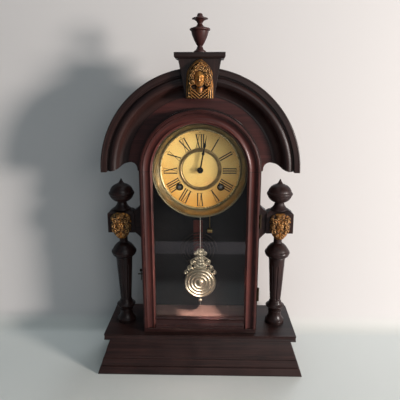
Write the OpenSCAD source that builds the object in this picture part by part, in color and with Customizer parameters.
// Mantel clock with an arched pediment, two turned columns and a glazed door.
// Units are millimetres. X is to the right, Y is to the back and Z is up.
// The origin is the centre of the plinth's footprint, on the shelf it stands on.

/* [Plinth] */
// Height of the plinth under its top board
plinth_h = 60; // [50:0.5:75]
// How far the moulded faces lean in from the floor to the top
plinth_flare = 21.2; // [16:0.1:24]
// Thickness of the plinth's boards at the top
plinth_wall = 12; // [9:0.5:16]
// Thickness of the board on top of the plinth
board_t = 10.4; // [7:0.1:12]
// How far that board stands out over the plinth's top edge
board_overhang = 10.5; // [5:0.5:12]
// How far that board reaches past each column's axis
board_rim = 31; // [24:0.1:36]

/* [Case] */
// Width of the case
case_w = 203; // [190:1:215]
// Height of the arch's centre over the floor
arch_z = 361.4; // [340:0.2:400]
// Distance from the plinth's front to the front edges of the case
case_setback = 34; // [30:0.5:40]
// Distance from the plinth's back to the back of the case
case_back_gap = 7; // [4:1:12]
// Room behind the movement for the hammer and the gong
gong_room = 10.6; // [9.6:0.2:20]
// Thickness of the case's side boards
case_wall = 9; // [7:0.5:11]
// Thickness of the back board
back_t = 6; // [4:0.5:8]
// Thickness of the case's floor
floor_t = 6; // [4:0.5:8]
// Height of the sill under the door
sill_h = 7.6; // [6:0.2:10]

/* [Door] */
// How far the door's edge lies in from the case's side
door_inset = 2.2; // [1:0.1:6]
// Thickness of the door frame
door_t = 13.7; // [11:0.1:16]
// Width of the door's stiles and arch
stile_w = 21.3; // [17:0.1:24]
// Height of the door's bottom rail
rail_h = 21.5; // [16:0.5:28]
// Thickness of the glass
glass_t = 2; // [1.5:0.1:3]
// Gap between the door and the case
door_gap = 0.3; // [0.2:0.1:1]

/* [Pediment] */
// How far the pediment's edge stands out past the case's side
pediment_reach = 63; // [58:0.5:72]
// Width of the moulding on the pediment, along the radius
moulding_w = 43.5; // [36:0.5:50]
// How far the moulding stands out from the pediment's board
moulding_t = 18; // [12:0.5:20]
// Thickness of the pediment's board
pediment_t = 12; // [9:0.5:15]
// Height of the top of the cap over the top of the arch
cap_rise = 20.6; // [16:0.1:30]
// Height of the finial
finial_h = 58.4; // [48:0.1:64]

/* [Columns] */
// Distance of each column's axis from the case's side
column_gap = 37.5; // [36:0.5:48]
// Largest radius of the column's turned parts
bulb_r = 22.1; // [19:0.1:25]
// Height of the underside of the column's block over the platform
block_low = 176.6; // [168:0.2:184]
// Height of the block
block_h = 40.3; // [36:0.1:46]
// Width of the block
block_w = 47; // [42:0.2:50]
// Number of flutes around the shaft
flutes = 10; // [8:1:14]

/* [Dial] */
// How far the dial's centre lies below the arch's centre
dial_drop = 2; // [0:0.5:6]
// Radius of the dial's bezel
bezel_r = 80; // [74:0.5:84]
// Thickness of the dial's sheet metal
dial_t = 1; // [0.6:0.1:1.4]
// Distance from the bezel's front to the dial's face
bezel_depth = 20; // [14:0.5:22]
// Distance of the winding squares from the dial's centre, sideways
wind_x = 35.5; // [34.5:0.5:37]
// Distance of the winding squares below the dial's centre
wind_drop = 30.5; // [29.5:0.5:32]
// Side of the winding squares
wind_square = 4.2; // [3.6:0.1:4.6]
// Angle of the minute hand, clockwise from the top
minute_angle = 10.5; // [0:0.5:359]
// Angle of the hour hand, clockwise from the top
hour_angle = 10.5; // [0:0.5:359]

/* [Movement] */
// Height of the movement's plates
plate_h = 116; // [112:1:122]
// Width of the movement's plates
plate_w = 104; // [102:1:112]
// Thickness of the plates
plate_t = 1.4; // [1:0.1:1.8]
// Distance between the plates
plate_gap = 30.6; // [30:0.2:33]
// Radius of the arbors' pivots and of the thin arbors
arbor_r = 0.9; // [0.7:0.1:1]
// Radial running clearance of arbors in their holes
running = 0.05; // [0.03:0.01:0.09]
// Free length of the pendulum, from its bend to the middle of its bob
pendulum_len = 184; // [170:0.5:190]
// Radius of the pendulum's bob
bob_r = 28.6; // [22:0.1:31]

/* [Hidden] */

$fn = 96;
eps = 0.01;

// colours
walnut = [0.20, 0.13, 0.12];
cherry = [0.42, 0.20, 0.17];
gilt = [0.72, 0.52, 0.24];
brass = [0.76, 0.63, 0.36];
steel = [0.56, 0.56, 0.56];
blued = [0.16, 0.17, 0.22];
nickel = [0.74, 0.71, 0.66];
cream = [0.90, 0.76, 0.48];

// planes and levels
bezel_setback = 6;
plate_setback = 13;
dial_z = arch_z - dial_drop;
movement_d = plate_gap + 2 * plate_t;
case_d = bezel_setback + bezel_depth + plate_setback + movement_d + gong_room + back_t;
plinth_d = case_setback + case_d + case_back_gap;
front_y = -plinth_d / 2;
back_y = plinth_d / 2;
column_x = case_w / 2 + column_gap;
board_front = front_y + plinth_flare - board_overhang;
board_w = 2 * (column_x + board_rim);
plinth_w = board_w + 2 * (plinth_flare - board_overhang);
top_z = plinth_h + board_t;
case_front = front_y + case_setback;
case_back = back_y - case_back_gap;
case_in = case_w / 2 - case_wall;
back_front = case_back - back_t;
door_back = case_front - door_gap;
door_front = door_back - door_t;
door_low = top_z + sill_h + 0.8;
door_r = case_w / 2 - door_inset;
glass_r = door_r - stile_w;
rebate = 4;
door_band = 4.4;
glass_y = door_back - 3 - glass_t;

// Points of an arc from p to q that bulges by sag to the left of the way there
function bow(p, q, sag, n = 10) =
  let (c = norm(q - p), r = (c * c / 4 + sag * sag) / (2 * abs(sag)), a = 2 * atan(2 * abs(sag) / c),
       u = (q - p) / c, side = sign(sag) * [-u[1], u[0]], mid = (p + q) / 2)
  [for (i = [0:n]) let (t = -a + 2 * a * i / n) mid + r * sin(t) * u + r * (cos(t) - cos(a)) * side];

// A bar drawn in the XZ plane between two levels of Y
module slab(y0, y1) translate([0, y1, 0]) rotate([90, 0, 0]) linear_extrude(y1 - y0) children();

// A round bar along Y
module rod_y(x, z, y0, y1, r, fn = 32) translate([x, y1, z]) rotate([90, 0, 0])
  cylinder(r = r, h = y1 - y0, $fn = fn);

// A solid of revolution about an axis along Y; the profile holds [radius, y]
module turned_y(profile, x = 0, z = 0, fn = 96) translate([x, 0, z]) rotate([-90, 0, 0])
  rotate_extrude($fn = fn) polygon(profile);

module both_sides() {
  children();
  mirror([1, 0, 0]) children();
}

// ---- plinth ----

// The moulded face of the plinth: [distance out from the top edge, height]. A plain upper face
// runs down to a bead, and two battered bands with a groove between them reach the floor.
function plinth_face() =
  let (bead_z = plinth_h * 0.47, groove_z = plinth_h * 0.22, lean = plinth_flare / plinth_h,
       out = function(z) plinth_flare - z * lean)
  concat(bow([0, plinth_h], [out(bead_z + 3), bead_z + 3], 0.7),
         bow([out(bead_z + 2) + 0.6, bead_z + 2], [out(bead_z) + 1.2, bead_z - 0.8], -1),
         [[out(bead_z) + 0.4, bead_z - 1.2], [out(bead_z) + 0.4, bead_z - 2],
          [out(bead_z - 3) + 0.8, bead_z - 2.4], [out(groove_z + 2), groove_z + 1.6],
          [out(groove_z) - 1.2, groove_z + 1], [out(groove_z) - 1.2, groove_z - 0.2],
          [out(groove_z) + 1, groove_z - 0.6], [plinth_flare, 1], [plinth_flare, 0]]);

plinth_top_x = plinth_w / 2 - plinth_flare;
plinth_top_y = front_y + plinth_flare;

// One moulded board, standing along X with its face to the front, centred
module moulded_board(length) rotate([90, 0, 90]) translate([0, 0, -length / 2]) linear_extrude(length)
  polygon(concat([[plinth_wall, 0], [plinth_wall, plinth_h]], [for (p = plinth_face()) [-p[0], p[1]]]));

// Everything in front of the two mitres, on a 45 degree line from the plinth's corners
module mitre_wedge() linear_extrude(plinth_h + 1)
  polygon([[-plinth_w / 2 - 1, front_y - 1], [plinth_w / 2 + 1, front_y - 1],
           [plinth_w / 2 + 1 - plinth_d / 2, front_y - 1 + plinth_d / 2],
           [-plinth_w / 2 - 1 + plinth_d / 2, front_y - 1 + plinth_d / 2]]);

module plinth_front() color(walnut) intersection() {
  translate([0, plinth_top_y, 0]) moulded_board(plinth_w);
  mitre_wedge();
}

module plinth_returns() color(walnut) both_sides() difference() {
  translate([plinth_top_x, 0, 0]) rotate([0, 0, 90]) moulded_board(plinth_d);
  translate([0, 0, -0.5]) mitre_wedge();
}

module plinth_back_rail() color(walnut)
  translate([-plinth_top_x + plinth_wall, back_y - plinth_wall, 0])
    cube([2 * (plinth_top_x - plinth_wall), plinth_wall, plinth_h]);

module platform_board() color(walnut) translate([0, 0, plinth_h]) {
  nose = board_t / 4;
  rotate([90, 0, 90]) translate([0, 0, -board_w / 2]) linear_extrude(board_w)
    polygon(concat([[back_y, 0], [back_y, board_t]],
                   bow([board_front + nose, board_t], [board_front + nose, 0], nose)));
}

// ---- case ----

module case_floor() color(walnut) {
  translate([-case_in, case_front, top_z]) cube([2 * case_in, back_front - case_front, floor_t]);
  // the sill that carries on in front of the case, in the shade of the door
  sill_front = door_front + 4;
  translate([-door_r, sill_front, top_z]) cube([2 * door_r, case_front - sill_front, sill_h]);
}

hinge_z = [142, 276];
leaf_h = 24;
leaf_t = 0.8;
knuckle_r = 2.2;
hinge_x = door_r + knuckle_r + 0.5;
hinge_y = case_front - knuckle_r - 0.1;
leaf_w = hinge_x - case_in - 0.5;

module case_side() translate([case_in, case_front, top_z])
  cube([case_wall, case_back - case_front, arch_z - top_z]);

module case_left_side() color(walnut) difference() {
  mirror([1, 0, 0]) case_side();
  translate([-case_w / 2, hook_y, hook_z]) rotate([0, 90, 0]) translate([0, 0, -1])
    cylinder(r = hook_screw_r, h = hook_screw_len + 1, $fn = 32);
}

module case_right_side() color(walnut) difference() {
  case_side();
  for (z = hinge_z) translate([hinge_x - leaf_w, case_front - 1, z - leaf_h / 2])
    cube([leaf_w + knuckle_r, leaf_t + 1, leaf_h]);
}

module case_arch_roof() color(walnut) slab(case_front, case_back) translate([0, arch_z])
  intersection() {
    difference() {
      circle(r = case_w / 2);
      circle(r = case_in);
    }
    translate([-case_w, 0]) square([2 * case_w, case_w]);
  }

module case_back_board() color(walnut) slab(back_front, case_back) {
  reach = case_in - 0.1;
  translate([-reach, top_z]) square([2 * reach, arch_z - top_z]);
  translate([0, arch_z]) intersection() {
    circle(r = reach);
    translate([-reach, -1]) square([2 * reach, case_w]);
  }
}

// ---- pediment ----

pediment_r = case_w / 2 + pediment_reach;
moulding_in = pediment_r - moulding_w;
pediment_back = case_front + 25;
board_face = pediment_back - pediment_t;
moulding_front = board_face - moulding_t;
scallop_x = (case_w / 2 + moulding_in) / 2 + 9;
scallop_rise = 12;
groove_r = pediment_r - 11.5;

// The pediment's outline: an arch whose ends are scalloped beside the case
module pediment_outline() translate([0, arch_z]) difference() {
  union() {
    intersection() {
      circle(r = pediment_r, $fn = 160);
      translate([-pediment_r, 0]) square(2 * pediment_r);
    }
    translate([-pediment_r, -2.4]) square([2 * pediment_r, 2.5]);
  }
  circle(r = case_w / 2 + 0.2, $fn = 160);
  translate([-case_w / 2 - 0.2, -10]) square([case_w + 0.4, 10]);
  for (s = [-1, 1]) scale([s, 1]) polygon(concat(
    [[case_w / 2 + 0.1, -10]],
    bow([case_w / 2 + 4.2, 0], [scallop_x, scallop_rise], 5),
    bow([scallop_x, scallop_rise], [(scallop_x + groove_r) / 2 - 1, 3.4], 1.6),
    bow([(scallop_x + groove_r) / 2 - 1, 3.4], [groove_r - 1, -0.6], -1.4),
    [[groove_r, 1.6], [groove_r + 2, -2.4], [groove_r + 2, -10]]));
}

module pediment_board() color(walnut) slab(board_face, pediment_back) intersection() {
  pediment_outline();
  translate([0, arch_z]) circle(r = pediment_r - 3, $fn = 160);
}

// Cross-section of the pediment's moulding: [radius, y]
function moulding_section() =
  let (f = moulding_front, b = board_face, r = pediment_r)
  concat([[moulding_in, b], [r - 1, b], [r, b - 1], [r, f + 3]],
         bow([r - 0.4, f + 2.6], [r - 3, f + 1.4], 0.8, 5),
         [[r - 10, f + 1.4], [groove_r + 0.8, f + 4.6], [groove_r - 0.8, f + 4.6]],
         bow([groove_r - 1.4, f + 5.2], [groove_r - 15.6, f + 5.2], 5.2, 12),
         bow([groove_r - 16.4, f + 6.6], [moulding_in, b - 1], -3.6, 8));

module pediment_moulding() color(walnut) {
  end_drop = 2.4;
  intersection() {
    translate([0, 0, arch_z]) union() {
      rotate([-90, 0, 0]) mirror([0, 1, 0]) rotate_extrude(angle = 180, $fn = 160)
        polygon(moulding_section());
      both_sides() translate([0, 0, -end_drop]) linear_extrude(end_drop)
        polygon(moulding_section());
    }
    slab(moulding_front - 1, board_face) pediment_outline();
  }
}

// ---- crest over the arch ----

crest_half = 33.4;
crest_taper = 0.19;
crest_front = moulding_front - 6;
cap_t = 8.7;
cap_lip = 5.9;
cap_z = arch_z + pediment_r + cap_rise - cap_t;
cap_front = crest_front - cap_lip;
cap_back = pediment_back + cap_lip / 2;
crest_foot = arch_z + moulding_in - 4.5;
mask_h = cap_z - crest_foot - 1.4;

// A keystone that tapers downwards in front of the moulding and stands on the arch behind it
module keystone_block() color(walnut) {
  foot_half = crest_half - crest_taper * (cap_z - crest_foot);
  difference() {
    slab(crest_front, pediment_back)
      polygon([[-foot_half, crest_foot], [foot_half, crest_foot], [crest_half, cap_z], [-crest_half, cap_z]]);
    slab(moulding_front - 0.2, pediment_back + 1) translate([0, arch_z])
      circle(r = pediment_r + 0.2, $fn = 160);
  }
}

// The cap is a slab with a rounded underside, mitred all round
module keystone_cap() color(walnut) {
  half = crest_half + cap_lip;
  round_h = cap_t * 0.35;
  edge = 3;
  intersection() {
    slab(cap_front, cap_back) polygon(concat(
      bow([-half + edge, cap_z], [-half, cap_z + round_h], 0.8, 6),
      [[-half, cap_z + cap_t], [half, cap_z + cap_t]],
      bow([half, cap_z + round_h], [half - edge, cap_z], 0.8, 6)));
    rotate([90, 0, 90]) translate([0, 0, -half]) linear_extrude(2 * half) polygon(concat(
      bow([cap_front + edge, cap_z], [cap_front, cap_z + round_h], 0.8, 6),
      [[cap_front, cap_z + cap_t], [cap_back, cap_z + cap_t], [cap_back, cap_z]]));
  }
}

// A veiled head in half relief, standing against the keystone's face
module keystone_mask() color(gilt) difference() {
  sunk = 9;
  nose_z = mask_h * 0.54;
  translate([0, crest_front + sunk, crest_foot + 0.6]) {
    rotate_extrude() polygon(concat([[0, 0], [23.6, 0]], bow([23.6, 0], [21.8, mask_h * 0.6], -1),
      bow([21.8, mask_h * 0.6], [10, mask_h - 0.6], -4.6), [[0, mask_h - 0.6]]));
    translate([0, -9 - sunk, nose_z]) rotate_extrude() polygon(concat([[0, -20]],
      bow([4, -19.4], [11.8, 2], -2.6), bow([11.8, 2], [0, 17], -3.6)));
  }
  translate([-crest_half, crest_front, crest_foot]) cube([2 * crest_half, 40, mask_h + 5]);
}

module top_finial() color(cherry) {
  h = finial_h;
  translate([0, (cap_front + cap_back) / 2, cap_z + cap_t]) rotate_extrude() polygon(concat(
    [[0, 0], [10, 0], [10, 0.04 * h]],
    bow([9.4, 0.06 * h], [4.6, 0.15 * h], 0.9, 6),
    [[3.9, 0.17 * h]],
    bow([4, 0.185 * h], [13.6, 0.55 * h], -1.2),
    [[13.2, 0.56 * h]],
    bow([14.4, 0.565 * h], [14.4, 0.63 * h], -1.6, 8),
    bow([12.6, 0.64 * h], [3.8, 0.735 * h], 1.6, 8),
    bow([3.8, 0.75 * h], [12.2, 0.855 * h], 1.4, 8),
    [[12.4, 0.87 * h]],
    bow([11.8, 0.88 * h], [4.6, 0.93 * h], 0.7, 5),
    bow([4.4, 0.94 * h], [0, h], -1.5, 6)));
}

// ---- columns ----

column_y = 4;
shaft_low_r = 9.8;
shaft_top_r = 14.4;
shaft_low = 44;
block_d = 30;
block_z = top_z + block_low;
block_top = block_z + block_h;
shaft_top = block_low - 47.6;
collar_h = 3.4;

// The turned column's profile, up from the platform
function column_profile() =
  concat([[0, 0], [17.3, 0], [17.3, 5.4]],
    bow([16.4, 6.4], [11.4, 21], 1.6, 8),
    [[11.2, 22.4]],
    bow([11.8, 22.8], [11.8, 24.8], -1, 5),
    [[11.2, 25.2]],
    bow([11.6, 26], [16.6, 32], 1.2, 6),
    bow([16.9, 32.6], [16.6, 34.4], -0.4, 3),
    bow([15.8, 34.8], [11.2, 41.6], 1, 6),
    [[shaft_low_r, shaft_low]],
    [[shaft_top_r, shaft_top - collar_h - 2]],
    bow([shaft_top_r + 0.2, shaft_top - collar_h], [shaft_top_r + 0.4, shaft_top - 0.8], -0.6, 5),
    bow([shaft_top_r, shaft_top], [bulb_r - 0.8, shaft_top + 5.4], -1.6, 6),
    bow([bulb_r - 0.6, shaft_top + 6], [bulb_r - 1.6, shaft_top + 12], -1.3, 6),
    bow([bulb_r - 2, shaft_top + 12.6], [7.6, block_low - 21], -1.6, 8),
    [[7.3, block_low - 19], [7.3, block_low - 10]],
    bow([7.6, block_low - 9], [13, block_low], 1.4, 6),
    [[0, block_low]]);

module column() translate([column_x, column_y, top_z]) {
  flute_low = shaft_low + 4;
  flute_top = shaft_top - 16;
  lean = atan((shaft_top_r - shaft_low_r) / (shaft_top - collar_h - 2 - shaft_low));
  flute_r = 0.26 * PI * (shaft_low_r + shaft_top_r) / flutes;
  difference() {
    rotate_extrude() polygon(column_profile());
    for (i = [0:flutes - 1]) rotate([0, 0, (i + 0.5) * 360 / flutes])
      translate([shaft_low_r + (flute_low - shaft_low) * tan(lean) + 0.5 * flute_r, 0, flute_low])
        rotate([0, lean, 0]) {
          cylinder(r = flute_r, h = (flute_top - flute_low) / cos(lean), $fn = 24);
          sphere(r = flute_r, $fn = 24);
          translate([0, 0, (flute_top - flute_low) / cos(lean)]) sphere(r = flute_r, $fn = 24);
        }
  }
}

module right_column() color(walnut) column();
module left_column() color(walnut) mirror([1, 0, 0]) column();

// Square blocks with chamfered tops over the columns
module column_blocks() color(walnut) both_sides() translate([column_x, column_y, block_z]) {
  chamfer = [6.6, 5.6];
  foot = 0.8;
  outline = function(w) [[-w / 2 + foot, 0], [w / 2 - foot, 0], [w / 2, foot], [w / 2, block_h - chamfer[1]],
    [w / 2 - chamfer[0], block_h], [-w / 2 + chamfer[0], block_h], [-w / 2, block_h - chamfer[1]], [-w / 2, foot]];
  intersection() {
    translate([0, block_d / 2, 0]) rotate([90, 0, 0]) linear_extrude(block_d) polygon(outline(block_w));
    translate([-block_w / 2, 0, 0]) rotate([90, 0, 90]) linear_extrude(block_w) polygon(outline(block_d));
  }
}

// Foliate ornaments that bulge from the blocks' faces and hang a little below them
module block_masks() color(gilt) both_sides() difference() {
  sunk = 9;
  ornament_top = block_h - 3;
  translate([column_x, column_y - block_d / 2 + sunk, block_z]) rotate_extrude() polygon(concat(
    [[0, -11.4]], bow([9.4, -11.2], [19.4, 8], -2.4), bow([19.4, 8], [19.4, ornament_top - 8], -0.6),
    bow([19.4, ornament_top - 8], [12, ornament_top], -2, 6), [[0, ornament_top]]));
  translate([column_x - block_w, column_y - block_d / 2, block_z - 14]) cube([2 * block_w, 40, block_h + 20]);
}

module column_finials() color(walnut) both_sides() translate([column_x, column_y, block_top])
  rotate_extrude() polygon(concat(
    [[0, 0], [15.6, 0], [15.6, 1.2]],
    bow([14.8, 2], [8.6, 11], 1, 6),
    [[8, 12.4]],
    bow([8.6, 13.4], [20.8, 24.6], -2, 8),
    [[20.4, 25.4]],
    bow([21.4, 26], [21.6, 31], -1, 6),
    [[20.4, 31.6]],
    bow([20.4, 32.2], [9.4, 44.6], -2.2, 10),
    bow([8.8, 45], [2.6, 50.4], 1, 5),
    bow([2.2, 51], [0, 54.9], -0.4, 4)));

// Boards that tie the blocks to the case, flaring where they meet it
module column_brackets() color(walnut) both_sides() slab(column_y - 12, column_y + 8) {
  x0 = case_w / 2;
  x1 = column_x - block_w / 2;
  polygon(concat([[x0, block_z - 16]],
    bow([x0, block_z - 16], [x1, block_z], 1.2, 8),
    [[x1, block_top - 6]],
    bow([x1, block_top - 1], [x0, block_top + 14], 1.2, 6)));
}

// ---- door ----

// Cross-section of the door's frame: [distance in from the outer edge, y]
function door_section() =
  let (f = door_front, in = stile_w)
  concat([[0, door_back], [0, f + 3]],
    bow([0, f + 3], [2, f + 2], 0.5, 4),
    [[door_band, f + 2], [door_band + 0.5, f + 3.4], [door_band + 1.3, f + 3.4]],
    bow([door_band + 1.6, f + 2.6], [in - 3, f + 3], 2.8, 12),
    [[in - 2.6, f + 4.2]],
    bow([in - 2.2, f + 4.2], [in, f + 5.4], 0.4, 4),
    [[in, glass_y], [in - rebate, glass_y], [in - rebate, door_back]]);

latch_r = 1;
hook_z = 181;
hook_y = case_front + 9;
hook_len = hook_y - (door_front + door_back) / 2;
hook_wire = 0.8;
hook_x = -case_w / 2 - 3;
hook_screw_r = 1.2;
hook_screw_len = 8;

module door_stile() translate([0, 0, door_low]) linear_extrude(arch_z - door_low)
  polygon([for (p = door_section()) [door_r - p[0], p[1]]]);

module latch_hole(r) translate([-door_r + 7, hook_y - hook_len, hook_z]) rotate([0, -90, 0])
  cylinder(r = r, h = 7 + case_w / 2 - door_r + 6, $fn = 24);

module door_left_stile() color(cherry) difference() {
  mirror([1, 0, 0]) door_stile();
  latch_hole(latch_r);
}

module door_right_stile() color(cherry) difference() {
  door_stile();
  for (z = hinge_z) translate([door_r - leaf_t, door_front + 3, z - leaf_h / 2]) cube([2, door_t, leaf_h]);
}

module door_bottom_rail() color(cherry) rotate([90, 0, 90]) translate([0, 0, -glass_r])
  linear_extrude(2 * glass_r) polygon(concat(
    [[door_back, door_low], [door_front + 3, door_low], [door_front + 2, door_low + 1]],
    [for (p = door_section()) if (p[0] > door_band - 0.1) [p[1], door_low + rail_h - stile_w + p[0]]]));

module door_arch() color(cherry) translate([0, 0, arch_z]) rotate([-90, 0, 0]) mirror([0, 1, 0])
  rotate_extrude(angle = 180, $fn = 128) polygon([for (p = door_section()) [door_r - p[0], p[1]]]);

module door_glass() color([0.8, 0.85, 0.85, 0.3]) slab(glass_y, glass_y + glass_t) {
  r = glass_r + rebate - 0.3;
  low = door_low + rail_h - rebate + 0.3;
  translate([-r, low]) square([2 * r, arch_z - low]);
  translate([0, arch_z]) intersection() {
    circle(r = r, $fn = 128);
    translate([-r, -1]) square([2 * r, r + 2]);
  }
}

pin_r = 1;
third = leaf_h / 3;

module hinge_case_leaves() color(brass) for (z = hinge_z) {
  translate([hinge_x - leaf_w, case_front, z - leaf_h / 2]) cube([leaf_w, leaf_t, leaf_h]);
  for (k = [0, 2]) translate([hinge_x, hinge_y, z - leaf_h / 2 + k * third]) {
    cylinder(r = knuckle_r, h = third, $fn = 32);
    translate([-knuckle_r, 0, 0]) cube([knuckle_r, case_front - hinge_y + leaf_t / 2, third]);
  }
  translate([hinge_x, hinge_y, z - leaf_h / 2 - 1]) cylinder(r = pin_r, h = leaf_h + 2, $fn = 32);
}

module hinge_door_leaves() color(brass) for (z = hinge_z) difference() {
  union() {
    translate([door_r - leaf_t, door_front + 3, z - leaf_h / 2])
      cube([leaf_t, hinge_y - door_front - 3, leaf_h]);
    translate([door_r - leaf_t, hinge_y - knuckle_r, z - third / 2 + 0.15])
      cube([hinge_x - door_r + leaf_t, leaf_t, third - 0.3]);
    translate([hinge_x, hinge_y, z - third / 2 + 0.15]) cylinder(r = knuckle_r, h = third - 0.3, $fn = 32);
  }
  translate([hinge_x, hinge_y, z - leaf_h]) cylinder(r = pin_r + running, h = 2 * leaf_h, $fn = 32);
}

module latch_pin() color(brass) latch_hole(latch_r);

module hook_screw() color(brass) translate([-case_w / 2 + hook_screw_len, hook_y, hook_z])
  rotate([0, -90, 0]) {
    cylinder(r = hook_screw_r, h = hook_screw_len + 4.4, $fn = 32);
    translate([0, 0, hook_screw_len + 4.2]) rotate_extrude($fn = 32)
      polygon(concat([[0, 0], [2.8, 0]], bow([2.8, 0.3], [0, 1.3], -0.4, 5)));
  }

// A wire hook that hangs from its screw, with its mouth to the back
module door_hook() color(brass) translate([hook_x, hook_y, hook_z]) rotate([0, -90, 0]) {
  eye = hook_screw_r + running + hook_wire;
  jaw = latch_r + 0.25 + hook_wire;
  rotate_extrude($fn = 32) translate([eye, 0]) circle(r = hook_wire, $fn = 24);
  translate([-hook_len + jaw, 0, 0]) rotate([0, 90, 0]) cylinder(r = hook_wire, h = hook_len - jaw - eye, $fn = 24);
  translate([-hook_len, 0, 0]) rotate([0, 0, -210]) rotate_extrude(angle = 240, $fn = 32)
    translate([jaw, 0]) circle(r = hook_wire, $fn = 24);
}

// ---- dial ----

bezel_front = case_front + bezel_setback;
dial_y = bezel_front + bezel_depth;
pan_r = bezel_r - 1.5;
ring_out = 36.7;
ring_in = 30.3;
hub_hole_r = 4;
wind_hole_r = 5.2;
wind_tip = 0.6;
wind_at = [wind_x, -wind_drop];

module at_dial() translate([0, 0, dial_z]) children();

module dial_pan() color(cream) at_dial() difference() {
  slab(dial_y, dial_y + dial_t) circle(r = pan_r);
  rod_y(0, 0, dial_y - 1, dial_y + dial_t + 1, hub_hole_r, 48);
  for (s = [-1, 1]) rod_y(s * wind_x, -wind_drop, dial_y - 1, dial_y + dial_t + 1, wind_hole_r, 48);
}

// The bezel: a rolled rim and a dished flank that runs down to the dial
module dial_bezel() color(brass) at_dial() {
  f = bezel_front;
  inner = bezel_r - 10.5;
  turned_y(concat([[pan_r + 0.2, dial_y + dial_t], [pan_r + 0.2, dial_y], [inner, dial_y], [inner, dial_y - 0.8]],
    bow([inner + 0.4, dial_y - 1.4], [bezel_r - 3.4, f + 2], 1.6, 8),
    bow([bezel_r - 3, f + 1.2], [bezel_r, f + 1.6], 1.5, 8),
    [[bezel_r, dial_y + dial_t]]));
}

module dial_centre_ring() color(brass) at_dial() turned_y(concat([[ring_in, dial_y]],
  bow([ring_in, dial_y - 0.8], [(ring_in + ring_out) / 2 - 0.6, dial_y - 1.4], 0.5, 5),
  bow([(ring_in + ring_out) / 2 + 0.6, dial_y - 1.4], [ring_out, dial_y - 0.8], 0.5, 5),
  [[ring_out, dial_y]]));

// Blocks glued inside the case that the dial is pinned to
module dial_blocks() color(walnut) at_dial() slab(dial_y + dial_t, dial_y + dial_t + 14) intersection() {
  translate([0, dial_drop]) circle(r = case_in - 0.1);
  union() {
    for (s = [-1, 1]) translate([s * case_w / 2, -22]) square([2 * (case_w / 2 - pan_r + 5), 43], center = true);
    translate([0, case_w / 2]) square([26, 2 * (case_w / 2 - pan_r + 5)], center = true);
  }
}

// ---- gear work ----

// Where two circles about p and q meet, on the left of the way from p to q
function meet(p, q, rp, rq) =
  let (d = norm(q - p), a = (rp * rp - rq * rq + d * d) / (2 * d), h = sqrt(rp * rp - a * a), u = (q - p) / d)
  p + a * u + h * [-u[1], u[0]];
function bearing(p, q) = atan2(q[1] - p[1], q[0] - p[0]);
function mirrored(p) = [-p[0], p[1]];

// Gear modules, from the great wheels to the escape wheel, and of the motion work
m_great = 0.6;
m_second = 0.45;
m_third = 0.35;
m_minute = 0.6;
m_hour = 0.576;
leaves = 8;
great_teeth = 80;
second_teeth = 80;
third_teeth = 100;
centre_teeth = 36;
cannon_teeth = 12;
minute_teeth = 36;
minute_leaves = 10;
hour_teeth = 40;

function spacing(a, b, m) = (a + b) * m / 2;

axis_c = [0, 0];
axis_g = wind_at;
axis_s = meet(axis_c, axis_g, spacing(centre_teeth, centre_teeth, m_minute), spacing(great_teeth, leaves, m_great));
axis_t = axis_s + spacing(second_teeth, leaves, m_second) * [cos(236), sin(236)];
axis_e = [0, axis_t[1] - sqrt(pow(spacing(third_teeth, leaves, m_third), 2) - pow(axis_t[0], 2))];
axis_v = axis_e + [0, 17];
axis_m = spacing(cannon_teeth, minute_teeth, m_minute) * [cos(135), sin(135)];
axis_p = mirrored(axis_s);
axis_f = axis_p + spacing(second_teeth, leaves, m_second) * [cos(104), sin(104)];
axis_h = [16, -54];
post_z = axis_v[1] + 7;

// planes along Y, counted from the front plate
plate_y = dial_y + plate_setback;
inner_y = plate_y + plate_t;
back_plate_y = inner_y + plate_gap;
great_y = inner_y + 8.6;
second_y = inner_y + 6.1;
third_y = inner_y + 3.5;
centre_y = inner_y + 1.4;
escape_y = plate_y - 3;
cannon_y = plate_y - 2.4;
hour_y = plate_y - 4.8;
pendulum_y = plate_y - 9;
spring_y = inner_y + 12.1;
spring_w = 17;
rear_y = back_plate_y + plate_t;

// The flat outline of a wheel with pointed, flat-sided teeth; one tooth points along angle a
module toothed(n, m, a) {
  tip = n * m / 2 + 0.8 * m;
  root = n * m / 2 - 1.25 * m;
  step = 360 / n;
  polygon([for (i = [0:n - 1], k = [[root, -0.29], [tip, -0.11], [tip, 0.11], [root, 0.29]])
    let (t = a + (i + k[1]) * step) k[0] * [cos(t), sin(t)]]);
}

// A flat bar with round ends
module link(p, q, r) {
  for (c = [p, q]) translate(c) circle(r = r, $fn = 32);
  translate(p) rotate(bearing(p, q)) translate([0, -r]) square([norm(q - p), 2 * r]);
}

// The windows between a wheel's arms
module windows(rim, hub, arms) difference() {
  circle(r = rim, $fn = 64);
  circle(r = hub, $fn = 32);
  for (i = [0:arms - 1]) rotate(i * 360 / arms) translate([0, -hub * 0.26]) square([rim + 1, hub * 0.52]);
}

module wheel(p, y, t, n, m, a, bore, hub, arms = 4) translate([p[0], 0, p[1]]) slab(y, y + t) difference() {
  toothed(n, m, a);
  if (n * m / 2 - 2.6 > hub + 3) windows(n * m / 2 - 2.6, hub, arms);
  circle(r = bore, $fn = 32);
}

// A lantern pinion: two discs with round pins between them; a gap faces along angle a
module lantern(p, y, length, m, a) translate([p[0], 0, p[1]]) {
  r = leaves * m / 2;
  disc = 0.6;
  for (y0 = [y - disc, y + length]) rod_y(0, 0, y0, y0 + disc, r + 0.9 * m, 48);
  for (i = [0:leaves - 1]) let (t = a + (i + 0.5) * 360 / leaves)
    rod_y(r * cos(t), r * sin(t), y - disc / 2, y + length + disc / 2, 0.5 * m, 16);
}

module arbor(p, y0, y1, r = arbor_r) rod_y(p[0], p[1], y0, y1, r, 32);

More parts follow.
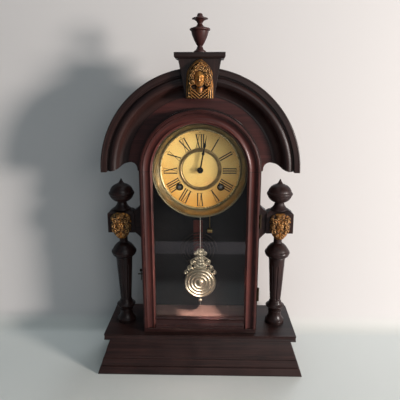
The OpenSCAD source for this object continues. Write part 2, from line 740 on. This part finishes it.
// Turns of a strip wound on edge: a spiral outline from radius r0 to r1
module spiral(r0, r1, turns, strip, end_angle) {
  n = 20;
  total = round(turns * n);
  at = function(i, dr) let (t = end_angle + (i - total) * 360 / n, r = r0 + (r1 - r0) * i / total + dr)
    r * [cos(t), sin(t)];
  polygon(concat([for (i = [0:total]) at(i, 0)], [for (i = [total:-1:0]) at(i, -strip)]));
}

// ---- hands and motion work ----

centre_r = 1.5;
pipe_r = 2.6;
hour_hand_y = dial_y - 5;
minute_hand_y = dial_y - 8;

// A slim hand with a round boss, drawn pointing up
module hand_outline(length, width, tail, boss) {
  circle(r = boss, $fn = 48);
  polygon([[-width * 0.3, -tail], [width * 0.3, -tail], [width / 2, length * 0.2], [width * 0.42, length * 0.62],
    [width * 1.05, length * 0.7], [width * 0.4, length * 0.8], [0.15, length], [-0.15, length],
    [-width * 0.4, length * 0.8], [-width * 1.05, length * 0.7], [-width * 0.42, length * 0.62], [-width / 2, length * 0.2]]);
}

module minute_hand() color(blued) at_dial() difference() {
  union() {
    slab(minute_hand_y, minute_hand_y + 0.6) rotate(-minute_angle) hand_outline(60, 2.2, 0, 5.4);
    rod_y(0, 0, minute_hand_y - 1, minute_hand_y + 1.4, 3, 48);
  }
  rod_y(0, 0, minute_hand_y - 3, minute_hand_y + 3, centre_r);
}

module hour_hand() color(blued) at_dial() difference() {
  slab(hour_hand_y, hour_hand_y + 0.6) rotate(-hour_angle) hand_outline(40, 2.6, 0, 4.4);
  rod_y(0, 0, hour_hand_y - 1, hour_hand_y + 2, pipe_r);
}

module centre_arbor() color(brass) at_dial() {
  arbor(axis_c, minute_hand_y - 2.4, back_plate_y + plate_t + 0.6, centre_r);
  wheel(axis_c, cannon_y, 1.6, cannon_teeth, m_minute, bearing(axis_c, axis_m), 0, 1);
  rod_y(0, 0, centre_y + 1.25, centre_y + 2.2, 3, 48);
}

module hour_wheel() color(brass) at_dial() difference() {
  union() {
    wheel(axis_c, hour_y, 1.4, hour_teeth, m_hour, bearing(axis_c, axis_m), 0, 4);
    rod_y(0, 0, hour_hand_y - 0.4, hour_y + 0.1, pipe_r, 48);
  }
  rod_y(0, 0, hour_hand_y - 2, hour_y + 3, centre_r + running);
}

module minute_wheel() color(brass) at_dial() difference() {
  union() {
    wheel(axis_m, cannon_y, 1.6, minute_teeth, m_minute, bearing(axis_m, axis_c) + 180 / minute_teeth, 0, 3.4);
    wheel(axis_m, hour_y - 0.2, cannon_y - hour_y + 0.3, minute_leaves, m_hour,
      bearing(axis_m, axis_c) + 180 / minute_leaves, 0, 1);
  }
  arbor(axis_m, hour_y - 2, plate_y, stud_r + running);
}

module centre_wheel() color(brass) at_dial() wheel(axis_c, centre_y, 1.2, centre_teeth, m_minute,
  bearing(axis_c, axis_s), centre_r + running, 3.6, 3);

// ---- plates ----

stud_r = 1;
wind_r = 3;
pillar_r = 2.6;
foot_r = 3;
low_edge = -62;
corner_x = plate_w / 2 - 4;
corners = [for (z = [low_edge + 5, low_edge + plate_h - 16], x = [-corner_x, corner_x]) [x, z]];

module plate_outline() difference() {
  translate([-plate_w / 2, low_edge]) square([plate_w, plate_h]);
  for (s = [-1, 1]) translate([s * plate_w / 2, low_edge + plate_h]) rotate(45) square(12, center = true);
  // windows that lighten the plate over and beside the train
  for (s = [-1, 1]) translate([s * 34, 31]) circle(r = 10, $fn = 48);
  translate([0, 42]) circle(r = 7, $fn = 48);
}

module arbor_holes(y0, y1) {
  for (p = [axis_s, axis_t, axis_e, axis_p, axis_f, axis_h]) arbor(p, y0, y1, arbor_r + running);
  for (p = [wind_at, mirrored(wind_at)]) arbor(p, y0, y1, wind_r + running);
  arbor(axis_c, y0, y1, centre_r + running);
}

cock_y = escape_y - 2.8;
cock_t = 1.2;
cock_foot = axis_e + [-16, -6];
slot = 2;

// Front plate with its riveted suspension post, studs and the cock of the escape wheel
module movement_front_plate() color(brass) at_dial() difference() {
  union() {
    slab(plate_y, inner_y) plate_outline();
    arbor(axis_m, hour_y - 0.6, plate_y, stud_r);
    arbor(axis_v, escape_y - 1.4, plate_y, stud_r);
    arbor([0, post_z], pendulum_y - 1.6, plate_y, 2.2);
    slab(cock_y, cock_y + cock_t) link(axis_e, cock_foot, 2.4);
    arbor(cock_foot, cock_y, plate_y, 2);
  }
  arbor_holes(cock_y - 2, inner_y + 1);
  translate([-slot / 2, pendulum_y - 3, post_z - 3]) cube([slot, 5, 6]);
}

// Back plate with the four pillars riveted to it
module movement_back_plate() color(brass) at_dial() difference() {
  union() {
    slab(back_plate_y, rear_y) plate_outline();
    for (p = corners) arbor(p, inner_y, back_plate_y, pillar_r);
  }
  arbor_holes(back_plate_y - 1, rear_y + 1);
}

// Legs from the back plate to the case's back board
module movement_feet() color(steel) at_dial() for (p = corners) {
  arbor(p, rear_y, back_front, foot_r);
  arbor(p, back_front - 1.6, back_front, foot_r + 3);
}

// ---- winding and springs ----

ratchet_r = 8;
ratchet_y = great_y + 2.2;
ratchet_teeth = 18;

module winding_arbor(p) {
  arbor(p, dial_y + 5, rear_y + 0.6, wind_r);
  translate([p[0], 0, p[1]]) {
    slab(dial_y - wind_tip, dial_y + 5.1) square(wind_square, center = true);
    slab(ratchet_y, ratchet_y + 1) polygon([for (i = [0:ratchet_teeth - 1], k = [[ratchet_r, 0], [ratchet_r - 1.6, 0.12]])
      let (t = (i + k[1]) * 360 / ratchet_teeth) k[0] * [cos(t), sin(t)]]);
  }
}

module time_winding_arbor() color(steel) at_dial() winding_arbor(wind_at);
module strike_winding_arbor() color(steel) at_dial() winding_arbor(mirrored(wind_at));

coil_r = 22.8;
strip_t = 0.7;

// Run-down springs; the outer end of each turns out to its pillar
module mainsprings() color(blued) at_dial() both_sides() translate([wind_x, 0, -wind_drop])
  slab(spring_y, spring_y + spring_w) {
    way = bearing(wind_at, corners[1]);
    reach = norm(corners[1] - wind_at) - pillar_r - 0.3;
    spiral(wind_r + 0.3 + strip_t, coil_r, 6, strip_t, way);
    rotate(way) translate([coil_r - strip_t, -strip_t]) square([reach - coil_r + strip_t, strip_t]);
  }

module great_wheel() difference() {
  union() {
    wheel(axis_g, great_y, 1.6, great_teeth, m_great, bearing(axis_g, axis_s), 0, ratchet_r + 4, 4);
    arbor(axis_g, great_y - 0.5, great_y + 2, 4.6);
    // the click stands just clear of the ratchet
    translate([axis_g[0], 0, axis_g[1]]) slab(great_y + 1.5, ratchet_y + 1)
      polygon([[ratchet_r + 0.4, -1], [ratchet_r + 3, -2.4], [ratchet_r + 3.4, 4], [ratchet_r + 1.6, 5]]);
  }
  arbor(axis_g, great_y - 2, great_y + 3, wind_r + running);
}

module time_great_wheel() color(brass) at_dial() great_wheel();
module strike_great_wheel() color(brass) at_dial() mirror([1, 0, 0]) great_wheel();

// ---- trains ----

module second_mobile() {
  arbor(axis_s, plate_y, rear_y);
  lantern(axis_s, great_y - 1, 3.6, m_great, bearing(axis_s, axis_g));
  wheel(axis_s, second_y, 1, second_teeth, m_second, bearing(axis_s, axis_t), 0, 3.4);
}

module second_wheel() color(brass) at_dial() {
  second_mobile();
  wheel(axis_s, centre_y, 1.2, centre_teeth, m_minute, bearing(axis_s, axis_c) + 180 / centre_teeth, 0, 3.6, 3);
}

module third_wheel() color(brass) at_dial() {
  arbor(axis_t, plate_y, rear_y);
  lantern(axis_t, second_y - 1, 2.6, m_second, bearing(axis_t, axis_s));
  wheel(axis_t, third_y, 0.9, third_teeth, m_third, bearing(axis_t, axis_e), 0, 3);
}

escape_teeth = 34;
escape_r = 12;

module escape_wheel() color(brass) at_dial() {
  arbor(axis_e, cock_y - 0.2, rear_y);
  lantern(axis_e, third_y - 0.6, 2.1, m_third, bearing(axis_e, axis_t));
  translate([axis_e[0], 0, axis_e[1]]) slab(escape_y, escape_y + 1) difference() {
    polygon([for (i = [0:escape_teeth - 1], k = [[escape_r - 2, 0], [escape_r, 0.62], [escape_r - 2, 0.74]])
      let (t = (i + k[1]) * 360 / escape_teeth) k[0] * [cos(t), sin(t)]]);
    windows(escape_r - 3.4, 2.6, 3);
  }
}

fork_drop = 44;
crutch_r = 0.5;
crutch_y = cock_y - 1.0;
rod_r = 0.8;
fork_gap = rod_r + crutch_r + 0.2;

// The verge: a bent strip over the escape wheel, with the crutch wire that drives the pendulum
module verge() color(steel) at_dial() {
  strip_in = escape_r + 1.4;
  drop = norm(axis_v - axis_e);
  difference() {
    union() {
      slab(escape_y, escape_y + 1) intersection() {
        translate(axis_e) difference() {
          circle(r = strip_in + 1.2, $fn = 96);
          circle(r = strip_in, $fn = 96);
        }
        translate(axis_e) polygon([[0, 0], [-20, 26], [20, 26]]);
      }
      slab(escape_y, escape_y + 1) translate([-1.2, axis_v[1] - drop + strip_in + 0.4]) square([2.4, drop - strip_in]);
      arbor(axis_v, crutch_y - crutch_r, escape_y + 1, 2.2);
    }
    arbor(axis_v, escape_y - 1.6, escape_y + 2, stud_r + running);
  }
  translate([0, crutch_y, axis_v[1] - fork_drop]) cylinder(r = crutch_r, h = fork_drop - 1.5, $fn = 24);
  for (s = [-1, 1]) translate([s * fork_gap, 0, 0])
    arbor([0, axis_v[1] - fork_drop], pendulum_y - 1.4, crutch_y, crutch_r);
  translate([-fork_gap, crutch_y, axis_v[1] - fork_drop]) rotate([0, 90, 0])
    cylinder(r = crutch_r, h = 2 * fork_gap, $fn = 24);
}

bob_drop = axis_v[1] - pendulum_len;

module pendulum_rod() color(steel) at_dial() {
  spring_top = post_z + 1.6;
  translate([-0.15, pendulum_y - 1, axis_v[1] - 5]) cube([0.3, 2, spring_top - axis_v[1] + 6]);
  translate([-1.6, pendulum_y, post_z + 3]) rotate([0, 90, 0]) cylinder(r = 0.5, h = 3.2, $fn = 24);
  translate([0, pendulum_y, bob_drop - bob_r - 15]) cylinder(r = rod_r, h = -bob_drop + bob_r + 15 + axis_v[1] - 4.6, $fn = 24);
}

crest_low = bob_r - 3;
crest_h = 38;

// A disc with turned rings under an openwork crest, on a tube that slides on the rod
module pendulum_bob() color(nickel) at_dial() translate([0, 0, bob_drop]) {
  y = pendulum_y;
  difference() {
    union() {
      turned_y(concat([[0, y + 1.6], [bob_r - 1, y + 1.6]], bow([bob_r - 1, y + 1.6], [bob_r - 1, y - 1.2], -1, 6),
        bow([bob_r - 1.6, y - 1.6], [bob_r - 7, y - 1.6], 1.6, 8), [[bob_r - 7.4, y - 0.9]],
        bow([bob_r - 8, y - 1.4], [bob_r - 14, y - 2], 1, 6), [[bob_r - 14.6, y - 1.2]],
        bow([bob_r - 15.4, y - 1.6], [0, y - 4.4], 1.2, 8)));
      slab(y - 1.2, y + 0.8) crest_outline();
      translate([0, y, -bob_r - 4]) cylinder(r = 2, h = crest_low + crest_h + bob_r - 2, $fn = 32);
    }
    translate([0, y, -bob_r - 20]) cylinder(r = rod_r + running, h = 2 * bob_r + crest_h + 40, $fn = 24);
  }
  difference() {
    translate([0, y, -bob_r - 8.2]) cylinder(r = 3.2, h = 4.2, $fn = 48);
    translate([0, y, -bob_r - 20]) cylinder(r = rod_r + running, h = 40, $fn = 24);
  }
}

// The crest is a symmetric cast ornament of scrolls with pierced eyes: [x, z over the disc, radius]
module crest_outline() {
  scrolls = [[20, -8, 6.4], [16.6, 3, 6.4], [10.6, 10, 6], [7, 28, 5.2], [2.4, 32, 4.6]];
  difference() {
    for (s = [-1, 1]) scale([s, 1]) {
      translate([0, crest_low - 4]) square([9, crest_h - 8]);
      for (c = scrolls) translate([c[0], crest_low + c[1]]) circle(r = c[2], $fn = 40);
    }
    for (s = [-1, 1], c = scrolls) if (c[0] > 5) translate([s * c[0], crest_low + c[1]]) circle(r = 1.8, $fn = 24);
  }
}

// ---- strike ----

pin_circle = 12;
lift_pins = 8;

module strike_pin_wheel() color(brass) at_dial() {
  mirror([1, 0, 0]) {
    arbor(axis_s, plate_y, rear_y);
    lantern(axis_s, great_y - 1, 3.6, m_great, bearing(axis_s, axis_g));
  }
  wheel(axis_p, second_y, 1, second_teeth, m_second, bearing(axis_p, axis_f), 0, 3.4);
  for (i = [0:lift_pins - 1]) let (t = i * 360 / lift_pins)
    arbor(axis_p + (spacing(second_teeth, 0, m_second) - 1.6) * [cos(t), sin(t)], second_y + 0.9, second_y + 2, 0.6);
}

module strike_fly() color(brass) at_dial() {
  arbor(axis_f, plate_y, rear_y);
  lantern(axis_f, second_y - 1, 2.6, m_second, bearing(axis_f, axis_p));
  translate([axis_f[0] - 11, spring_y + 2, axis_f[1] - 0.4]) cube([22, 14, 0.8]);
  arbor(axis_f, spring_y + 1, spring_y + 17, 1.6);
}

hammer_y = rear_y + 4.6;
hammer_at = [17, 234 - dial_z];
head_r = 4.5;
head_len = 9;

module strike_hammer() color(brass) at_dial() {
  reach = hammer_at - axis_h;
  arbor(axis_h, plate_y, hammer_y + 1);
  translate([axis_h[0], hammer_y, axis_h[1]]) rotate([0, 90 + atan2(-reach[1], reach[0]) , 0])
    cylinder(r = 0.9, h = norm(reach) - 1, $fn = 24);
  translate([hammer_at[0] - head_len / 2, hammer_y, hammer_at[1]]) rotate([0, 90, 0])
    cylinder(r = head_r, h = head_len, $fn = 48);
  // the tail that the lifting pins would raise, standing clear of their path
  slab(second_y + 1.5, second_y + 2) {
    tail = axis_p + (spacing(second_teeth, 0, m_second) + 1.6) * [cos(-55), sin(-55)];
    link(axis_h, tail, 1.1);
  }
}

gong_at = [-6.5, 194.6 - dial_z];
gong_r = 37.4;
gong_turns = 5;
gong_wire = 1;
gong_block_h = 74;

// A flat spiral of round wire, made of half turns whose centres step to and fro
module gong_coil() color(blued) at_dial() translate([gong_at[0], hammer_y, gong_at[1]]) rotate([-90, 0, 0]) {
  pitch = (gong_r - 8) / gong_turns;
  for (i = [0:2 * gong_turns - 1]) translate([i % 2 * pitch / 2, 0, 0]) rotate([0, 0, 180 * (i % 2)])
    rotate_extrude(angle = 180, $fn = 64) translate([8 + i * pitch / 2, 0]) circle(r = gong_wire, $fn = 24);
  translate([8, 0, 0]) cylinder(r = gong_wire, h = 4, $fn = 24);
}

module gong_block() color(cherry) at_dial() difference() {
  translate([gong_at[0] - 7.5, hammer_y + gong_wire + 0.4, gong_at[1] - 15])
    cube([17.5, back_front - hammer_y - gong_wire - 0.4, gong_block_h]);
  translate([gong_at[0] + 8, hammer_y, gong_at[1]]) rotate([-90, 0, 0])
    cylinder(r = gong_wire + running, h = 4, $fn = 24);
}

plinth_front();
plinth_returns();
plinth_back_rail();
platform_board();
case_floor();
case_left_side();
case_right_side();
case_arch_roof();
case_back_board();
pediment_board();
pediment_moulding();
keystone_block();
keystone_cap();
keystone_mask();
top_finial();
left_column();
right_column();
column_blocks();
block_masks();
column_finials();
column_brackets();
hinge_case_leaves();
hook_screw();
door_left_stile();
door_right_stile();
door_bottom_rail();
door_arch();
door_glass();
hinge_door_leaves();
latch_pin();
door_hook();
dial_pan();
dial_bezel();
dial_centre_ring();
dial_blocks();
minute_hand();
hour_hand();
centre_arbor();
hour_wheel();
minute_wheel();
centre_wheel();
movement_front_plate();
movement_back_plate();
movement_feet();
time_winding_arbor();
strike_winding_arbor();
mainsprings();
time_great_wheel();
strike_great_wheel();
second_wheel();
third_wheel();
escape_wheel();
verge();
pendulum_rod();
pendulum_bob();
strike_pin_wheel();
strike_fly();
strike_hammer();
gong_coil();
gong_block();
